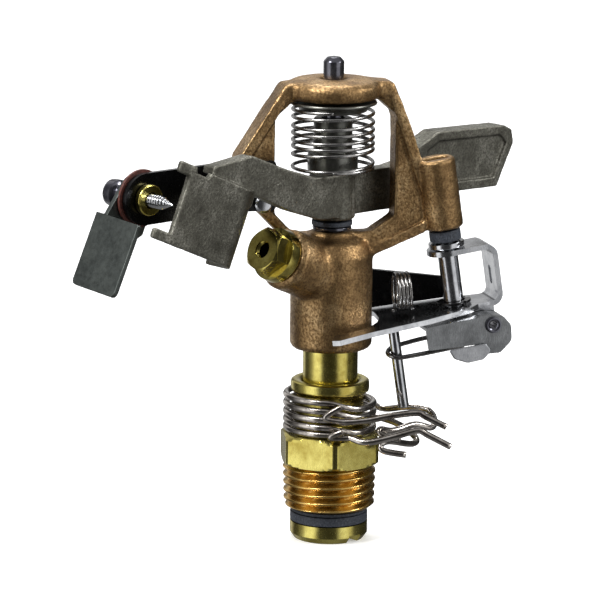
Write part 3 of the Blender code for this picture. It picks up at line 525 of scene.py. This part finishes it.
def nipple_pieces():
    """The inlet nipple: helical pipe thread, wrench hex, and neck with the spring cup."""
    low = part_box("bearing_nipple")[0].z / MM
    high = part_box("bearing_nipple")[1].z / MM
    root = THREAD_R - THREAD_DEPTH
    rows = [(THREAD_TOP + 0.15, root - 0.3), (THREAD_TOP - 0.25, root - 0.2)]
    steps = 84
    start = THREAD_TOP - 0.3
    for step in range(steps + 1):
        height = start - (start - low - 0.1) * step / steps
        crest = THREAD_R - (THREAD_TOP - height) * THREAD_TAPER
        fade = min(1.0, (start - height) / 0.9, (height - low) / 0.6)
        crest -= THREAD_DEPTH * (1.0 - max(0.0, fade)) * 0.8
        rows.append((height, thread_radius(height, crest, THREAD_DEPTH * max(0.15, fade), PITCH)))
    rows += [(low, root - 1.2), (low, STEM_CLEARANCE_R), (THREAD_TOP + 0.15, STEM_CLEARANCE_R)]
    thread = lathe("inlet_thread", rows, segments=128)
    smooth_by_angle(thread.data, 60.0)
    dress(thread, "bearing_nipple", "thread_brass")

    corner = HEX_FLATS / math.sqrt(3.0)
    rows = []
    for inset, reach in ((0.0, 1.9), (0.15, 1.65), (0.55, 0.95), (1.1, 0.15), (1.25, 0.0)):
        rows.append((HEX_TOP - inset, hex_radius(HEX_FLATS, HEX_TURN, corner - reach)))
    for inset, reach in ((1.0, 0.0), (0.8, 0.1), (0.3, 0.8), (0.05, 1.3), (0.0, 1.5)):
        rows.append((THREAD_TOP + inset, hex_radius(HEX_FLATS, HEX_TURN, corner - reach)))
    rows += [(THREAD_TOP, NECK_R - 0.5), (HEX_TOP, NECK_R - 0.5)]
    hexagon = lathe("wrench_hex", rows, segments=240)
    smooth_by_angle(hexagon.data, 24.0)
    dress(hexagon, "bearing_nipple", "brass", stands_for=False)

    rows = [
        (high - 0.1, CUP_BORE_R + 0.5),
        (high, CUP_R - 0.9),
        (high - 0.08, CUP_R - 0.5),
        (high - 0.35, CUP_R - 0.12),
        (high - 0.8, CUP_R),
        (CUP_BOTTOM + 0.9, CUP_R),
        (CUP_BOTTOM + 0.4, CUP_R - 0.12),
        (CUP_BOTTOM + 0.05, CUP_R - 0.5),
        (CUP_BOTTOM - 0.1, NECK_R + 0.15),
        (CUP_BOTTOM - 0.4, NECK_R),
        (HEX_TOP - 0.2, NECK_R),
        (HEX_TOP - 0.2, STEM_CLEARANCE_R),
        (CUP_BOTTOM + 0.6, STEM_CLEARANCE_R),
        (CUP_BOTTOM + 0.6, CUP_BORE_R),
        (high - 0.5, CUP_BORE_R),
    ]
    neck = lathe("spring_cup", rows, segments=96)
    smooth_by_angle(neck.data, 38.0)
    dress(neck, "bearing_nipple", "brass", stands_for=False)


# ---------------------------------------------------------------- castings


def direction(turn):
    """A level direction, turned from +Y towards +X by an angle in degrees."""
    return Vector((math.sin(math.radians(turn)), math.cos(math.radians(turn)), 0.0))


BRIDGE_OUT = direction(28.0)
BRIDGE_FACE = Vector((BRIDGE_OUT.y, -BRIDGE_OUT.x, 0.0))


def bead_mesh(points, radius):
    """Small overlapping beads, such as flash along a casting's parting line."""
    mesh = bpy.data.meshes.new("beads")
    work = bmesh.new()
    for point in points:
        place = Matrix.Translation(point * MM)
        bmesh.ops.create_icosphere(work, subdivisions=2, radius=radius * MM, matrix=place)
    work.to_mesh(mesh)
    work.free()
    return mesh


def flash_line(start, stop, face, count):
    """Points of a bumpy ridge on the bridge's face; start and stop are (out, height) in mm."""
    points = []
    for step in range(count):
        share = step / (count - 1)
        out = start[0] + (stop[0] - start[0]) * share
        height = start[1] + (stop[1] - start[1]) * share + 0.12 * math.sin(step * 2.1)
        across = face + 0.1 * math.sin(step * 1.3)
        points.append(BRIDGE_OUT * out + BRIDGE_FACE * across + Vector((0, 0, height)))
    return points


FLASH_R = 0.42
CROWN_BLEND = 100.5  # the crown runs smoothly into the bridge's beam above this height
CROWN_FADE = 1.5
BOSS_BLEND_R = 14.0  # the barrel, the nozzle boss and the legs' feet run together inside this radius
BOSS_FADE = 2.0
BOSS_LOW = 52.0
BOSS_HIGH = 76.0


def crown_share(point):
    return (point.z - CROWN_BLEND) / CROWN_FADE


def boss_share(point):
    if not BOSS_LOW < point.z < BOSS_HIGH:
        return 0.0
    return (BOSS_BLEND_R - point.xy.length) / BOSS_FADE


def castings():
    """The bronze body with the flash under its right leg, and the grey arm."""
    upper_flash = flash_line((9.0, 67.3), (21.3, 72.6), 3.35, 18)
    lower_flash = flash_line((10.0, 66.6), (20.5, 70.6), 2.9, 15)
    beads = bead_mesh(upper_flash + lower_flash, FLASH_R)
    blends = [(crown_share, 60), (boss_share, 30)]
    sculpted("sprinkler_body", "cast_body", "bronze", 0.3, 8, 0.07, [beads], blends)
    sculpted("impact_arm", "cast_impact_arm", "cast_arm", 0.22, 4, 0.04)


# ---------------------------------------------------------------- diffuser screw


def diffuser_screw():
    """Pointed screw with a fine thread, a collar and a grooved knob."""
    low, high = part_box("diffuser_screw")
    centre = (low + high) / 2.0
    tip = high.x / MM
    pitch = 0.8
    thread_depth = 0.26
    point_r = 0.28
    shank_r = 1.5
    shank_end = -11.6
    start = tip - 0.5
    rows = [(tip, 0.06), (tip - 0.35, point_r)]
    steps = 150
    for step in range(steps + 1):
        height = start - (start - shank_end) * step / steps
        cone = min(shank_r, point_r + (start - height) * 0.40)
        depth = thread_depth * min(1.0, cone / 1.2)
        rows.append((height, thread_radius(height, cone, depth, pitch, 0.1)))
    collar = [(-11.7, 1.6), (-11.72, 2.5), (-11.9, 2.7), (-14.4, 2.7), (-14.6, 2.55), (-14.75, 2.2)]
    groove = [(-15.0, 1.95), (-15.8, 1.95), (-16.05, 2.3), (-16.2, 2.8)]
    knob = [(-16.5, 3.1), (-18.2, 3.1), (-18.7, 3.0), (-19.15, 2.6), (-19.3, 1.9)]
    rows += collar + groove + knob
    turn = Matrix(((0, 0, 1), (0, 1, 0), (-1, 0, 0))).to_4x4()
    matrix = Matrix.Translation((0.0, centre.y, centre.z)) @ turn
    screw = spindle("pointed_screw", rows, 64, matrix)
    smooth_by_angle(screw.data, 40.0)
    dress(screw, "diffuser_screw", "dark_steel")
    screw.data.materials.append(FINISHES["stainless"])
    for polygon in screw.data.polygons:
        if polygon.center.x > (shank_end + 0.1) * MM:
            polygon.material_index = 1


# ---------------------------------------------------------------- flip lever and collar ends

TRIP_UP = Vector((-2.7, -4.0, 32.7)).normalized()
TRIP_OUT = (BRIDGE_OUT - BRIDGE_OUT.dot(TRIP_UP) * TRIP_UP).normalized()
TRIP_BACK = TRIP_UP.cross(TRIP_OUT)
TRIP_ORIGIN = Vector((14.69, 22.14, 66.0))
# The lever is drawn with x away from the inlet's axis, y up and z through its width.
TRIP_SECTION = (
    Matrix.Translation(TRIP_ORIGIN * MM) @ Matrix((TRIP_OUT, TRIP_UP, -TRIP_BACK)).transposed().to_4x4()
)
HINGE_AT = (5.6, -16.6)
COLLAR_TURN = 47.0
COLLAR_END_R = 0.7


def rounded(corners, steps=6):
    """An outline whose corners, each (x, y, radius), are rounded."""
    points = []
    for index, (x, y, radius) in enumerate(corners):
        here = Vector((x, y))
        before = (Vector(corners[index - 1][:2]) - here).normalized()
        after = (Vector(corners[(index + 1) % len(corners)][:2]) - here).normalized()
        half = before.angle(after) / 2.0
        first = here + before * radius / math.tan(half)
        last = here + after * radius / math.tan(half)
        middle = here + (before + after).normalized() * radius / math.sin(half)
        for step in range(steps + 1):
            spoke = (first - middle).slerp(last - middle, step / steps)
            points.append(middle + spoke.normalized() * radius)
    return points


def plate(name, outline, low, high, matrix):
    """A flat plate with the given outline, between two heights in mm."""
    mesh = bpy.data.meshes.new(name)
    work = bmesh.new()
    bottom = [work.verts.new((x * MM, y * MM, low * MM)) for x, y in outline]
    top = [work.verts.new((x * MM, y * MM, high * MM)) for x, y in outline]
    work.faces.new(bottom[::-1])
    work.faces.new(top)
    for index, start in enumerate(bottom):
        after = (index + 1) % len(bottom)
        work.faces.new((start, bottom[after], top[after], top[index]))
    bmesh.ops.recalc_face_normals(work, faces=work.faces)
    work.to_mesh(mesh)
    work.free()
    return add_mesh(name, mesh, matrix)


def carved(piece, tools, width):
    """Cut tools out of a piece, then break its edges."""
    for tool in tools:
        step = piece.modifiers.new(tool.name, "BOOLEAN")
        step.object = tool
        step.operation = "DIFFERENCE"
    step = piece.modifiers.new("worn_edges", "BEVEL")
    step.width = width * MM
    step.segments = 3
    step.limit_method = "ANGLE"
    step.angle_limit = math.radians(SHARP_ANGLE)
    smooth_by_angle(applied(piece), SHARP_ANGLE)
    flat_faces(piece)
    for tool in tools:
        bpy.data.objects.remove(tool)
    return piece


def flip_lever():
    """Folded lever with a side plate and a hood, a leaf over its lower edge and a hollow rivet."""
    hinge = TRIP_SECTION @ Matrix.Translation(Vector((*HINGE_AT, 0)) * MM)
    top = [(-10.0, -14.4, 0.5), (5.6, -14.3, 1.2), (8.2, -15.0, 1.4), (9.8, -17.4, 1.8)]
    bottom = [(9.5, -21.0, 2.0), (6.4, -23.3, 1.4), (2.4, -22.9, 1.0), (0.8, -20.4, 0.8)]
    bottom.append((-10.0, -19.7, 0.4))
    roof = [(-13.0, -15.3, 0.3), (5.4, -15.2, 0.9), (7.6, -15.8, 1.0), (8.9, -17.8, 1.2)]
    mouth = [(8.7, -26.0, 0.5), (-13.0, -26.0, 0.5)]
    lever = plate("flip_lever_shell", rounded(top + bottom), 4.8, 10.4, TRIP_SECTION)
    inside = plate("lever_inside", rounded(roof + mouth), 2.0, 9.5, TRIP_SECTION)
    hole = spindle("lever_hole", [(14.0, 1.5), (8.5, 1.5)], 40, hinge)
    dress(carved(lever, [inside, hole], 0.22), "flip_lever", "lever_steel")

    straight = [(-5.6, -20.3, 0.4), (3.2, -20.4, 0.6), (4.4, -22.2, 0.8)]
    round_side = [(2.2, -24.0, 1.4), (-1.6, -24.1, 2.2), (-4.6, -22.6, 1.6)]
    leaf = plate("lever_leaf", rounded(straight + round_side), 10.5, 11.1, TRIP_SECTION)
    dress(carved(leaf, [], 0.25), "flip_lever", "stainless", stands_for=False)

    head = [(10.9, 1.2), (11.0, 1.5), (10.9, 1.8), (10.5, 1.9), (10.45, 1.35)]
    tube = [(2.9, 1.35), (2.9, 0.9), (10.6, 0.9)]
    rivet = lathe("hollow_rivet", head + tube, 40, hinge)
    smooth_by_angle(rivet.data, 40.0)
    dress(rivet, "lever_hinge_pin", "dark_steel")


def collar_ends():
    """The short end of each collar's wire, folded back beside its front tail."""
    turn = Matrix.Rotation(math.radians(COLLAR_TURN), 4, "Z")
    ends = {
        "upper_collar": [
            (3.2, -10.9, 29.3),
            (0.6, -11.4, 29.6),
            (-1.7, -11.6, 30.2),
            (-0.9, -11.8, 31.0),
            (2.4, -11.9, 32.9),
        ],
        "lower_collar": [
            (4.6, -11.5, 25.75),
            (1.6, -11.6, 25.6),
            (-0.5, -11.8, 25.7),
            (0.2, -12.3, 26.3),
            (2.8, -12.6, 27.4),
        ],
    }
    for node, points in ends.items():
        end = round_line(node + "_end", points, COLLAR_END_R, turn)
        dress(end, node, "bright_wire", stands_for=False)


# ---------------------------------------------------------------- stage

FLOOR_R = 6.0  # metres

# Place round the room, from 0 at -X by way of -Y, and brightness
WALLS = [
    (0.00, 0.60), (0.03, 0.06), (0.09, 0.10), (0.15, 0.45), (0.19, 1.5), (0.26, 1.5), (0.29, 0.08),
    (0.37, 0.04), (0.45, 0.06), (0.49, 1.1), (0.57, 1.1), (0.60, 0.10), (0.70, 0.04), (0.83, 0.04),
    (0.87, 0.55), (0.90, 0.55), (0.925, 0.06), (0.95, 0.85), (1.0, 0.60),
]
CEILING = 0.5
GROUND = 0.22

# name: azimuth, elevation, distance in metres, width in metres, power in watts
LIGHTS = {
    "key": (AZIMUTH - 55.0, 50.0, 0.9, 0.3, 7.5),
    "rim": (AZIMUTH + 80.0, 30.0, 0.9, 0.25, 3.5),
    "top": (AZIMUTH + 180.0, 62.0, 1.0, 0.4, 5.0),
}
LIGHTS_AIM = Vector((0.0, 0.0, 0.06))


def floor_finish():
    f = Finish("floor_skin")
    tone = f.noise(60.0, detail=2.0)
    f.set(colour=f.ramp(tone, [(0.0, 0.93), (1.0, 0.95)]), roughness=0.5, metallic=0.0)
    f.shader.inputs["Emission Color"].default_value = (1.0, 1.0, 1.0, 1.0)
    f.shader.inputs["Emission Strength"].default_value = 0.3
    return f.material


def add_floor():
    mesh = bpy.data.meshes.new("floor")
    work = bmesh.new()
    bmesh.ops.create_circle(work, cap_ends=True, segments=96, radius=FLOOR_R)
    work.to_mesh(mesh)
    work.free()
    floor = add_mesh("floor", mesh)
    floor.data.materials.append(floor_finish())
    floor.visible_diffuse = False
    floor.visible_glossy = False


def in_range(tree, source, low, high):
    """How far a value has come from low to high, held between 0 and 1."""
    made = tree.nodes.new("ShaderNodeMapRange")
    made.inputs["From Min"].default_value = low
    made.inputs["From Max"].default_value = high
    tree.links.new(source, made.inputs["Value"])
    return made.outputs[0]


def towards_grey(tree, factor, colour, grey):
    made = tree.nodes.new("ShaderNodeMix")
    made.data_type = "RGBA"
    tree.links.new(factor, made.inputs[0])
    tree.links.new(colour, made.inputs[6])
    made.inputs[7].default_value = (grey, grey, grey, 1.0)
    return made.outputs[2]


def add_world():
    """A dark room with bright panels, which the metals show as light and dark bands."""
    world = bpy.data.worlds.new("studio")
    bpy.context.scene.world = world
    world.use_nodes = True
    tree = world.node_tree
    coordinates = tree.nodes.new("ShaderNodeTexCoord")
    split = tree.nodes.new("ShaderNodeSeparateXYZ")
    tree.links.new(coordinates.outputs["Generated"], split.inputs[0])
    around = tree.nodes.new("ShaderNodeMath")
    around.operation = "ARCTAN2"
    tree.links.new(split.outputs["Y"], around.inputs[0])
    tree.links.new(split.outputs["X"], around.inputs[1])
    walls = tree.nodes.new("ShaderNodeValToRGB")
    fill_ramp(walls, WALLS)
    tree.links.new(in_range(tree, around.outputs[0], -math.pi, math.pi), walls.inputs["Fac"])
    above = in_range(tree, split.outputs["Z"], 0.45, 0.8)
    below = in_range(tree, split.outputs["Z"], -0.35, -0.8)
    room = towards_grey(tree, above, walls.outputs["Color"], CEILING)
    room = towards_grey(tree, below, room, GROUND)
    background = tree.nodes["Background"]
    tree.links.new(room, background.inputs["Color"])
    background.inputs["Strength"].default_value = 1.0


def outward(azimuth, elevation):
    """The direction from the object to a viewer at two angles in degrees."""
    a = math.radians(azimuth)
    e = math.radians(elevation)
    return Vector((math.sin(a) * math.cos(e), -math.cos(a) * math.cos(e), math.sin(e)))


def add_light(name, azimuth, elevation, distance, size, power):
    """A soft square light that faces the object."""
    back = outward(azimuth, elevation)
    data = bpy.data.lights.new(name, "AREA")
    data.size = size
    data.energy = power
    light = bpy.data.objects.new(name, data)
    bpy.context.scene.collection.objects.link(light)
    light.rotation_mode = "QUATERNION"
    light.location = LIGHTS_AIM + back * distance
    light.rotation_quaternion = back.to_track_quat("Z", "Y")


def add_camera():
    """The photo's view: from the front right and a little above."""
    back = outward(AZIMUTH, ELEVATION)
    right = Vector((math.cos(math.radians(AZIMUTH)), math.sin(math.radians(AZIMUTH)), 0.0))
    up = back.cross(right)
    centre = Vector((0.0, 0.0, LOOK_AT_HEIGHT)) - right * SIDE_SHIFT
    data = bpy.data.cameras.new("camera")
    data.sensor_width = SENSOR
    data.lens = SENSOR * DISTANCE / VIEW_WIDTH
    data.clip_start = 0.01
    camera = bpy.data.objects.new("camera", data)
    bpy.context.scene.collection.objects.link(camera)
    turn = Matrix((right, up, back)).transposed().to_4x4()
    camera.matrix_world = (
        Matrix.Translation(centre + back * DISTANCE) @ turn @ Matrix.Rotation(math.radians(-ROLL), 4, "Z")
    )
    bpy.context.scene.camera = camera


# ---------------------------------------------------------------- assembly

FINISHES = make_finishes()
add_camera()
nipple_pieces()
castings()
diffuser_screw()
flip_lever()
collar_ends()

# node: finish, width of its worn edges
BEVELLED = {
    "stem_tube": ("brass", 0.15),
    "thrust_washer": ("rubber", 0.12),
    "wear_washer": ("rubber", 0.1),
    "spring_sleeve": ("brass", 0.06),
    "nozzle": ("nozzle_brass", 0.22),
    "fulcrum_pin": ("dark_steel", 0.12),
    "lower_arm_washer": ("dark_steel", 0.1),
    "upper_arm_washer": ("rubber", 0.12),
    "arm_bush": ("sleeve_steel", 0.12),
    "spring_cap": ("sleeve_steel", 0.12),
    "diffuser_bush": ("brass", 0.12),
    "fibre_washer": ("fibre", 0.1),
    "trip_pivot_pin": ("stainless", 0.15),
    "rubber_trip_washer": ("rubber", 0.3),
    "steel_trip_washer": ("stainless", 0.2),
    "retaining_clip": ("black_steel", 0.08),
    "upper_bracket_screw": ("stainless", 0.12),
    "lower_bracket_screw": ("stainless", 0.12),
    "trip_pin": ("stainless", 0.12),
    "deflector_bracket": ("black_steel", 0.18),
    "deflector_flap": ("flap_steel", 0.15),
    "trip_bracket": ("stainless", 0.14),
    "trip_shoe": ("black_steel", 0.15),
}
for node, (finish, width) in BEVELLED.items():
    bevelled(node, finish, width)
slot_turn = Matrix.Rotation(math.radians(SLOT_TURN), 4, "Z")
bpy.data.objects["stem_tube_part"].data.transform(slot_turn)

# node: finish, radius of the wire, sides of the CAD's wire
WIRES = {
    "lower_collar": ("bright_wire", 0.76, 8),
    "upper_collar": ("bright_wire", 0.76, 8),
    "arm_spring": ("spring_wire", 0.43, 6),
    "bearing_spring": ("spring_wire", 0.35, 6),
    "over_centre_spring": ("spring_wire", 0.36, 6),
    "trip_wire": ("spring_wire", 0.54, 8),
}
for node, (finish, radius, sides) in WIRES.items():
    round_wire(node, finish, radius, sides)

add_floor()
add_world()
for name, values in LIGHTS.items():
    add_light(name, *values)
bpy.context.scene.view_settings.view_transform = "Standard"
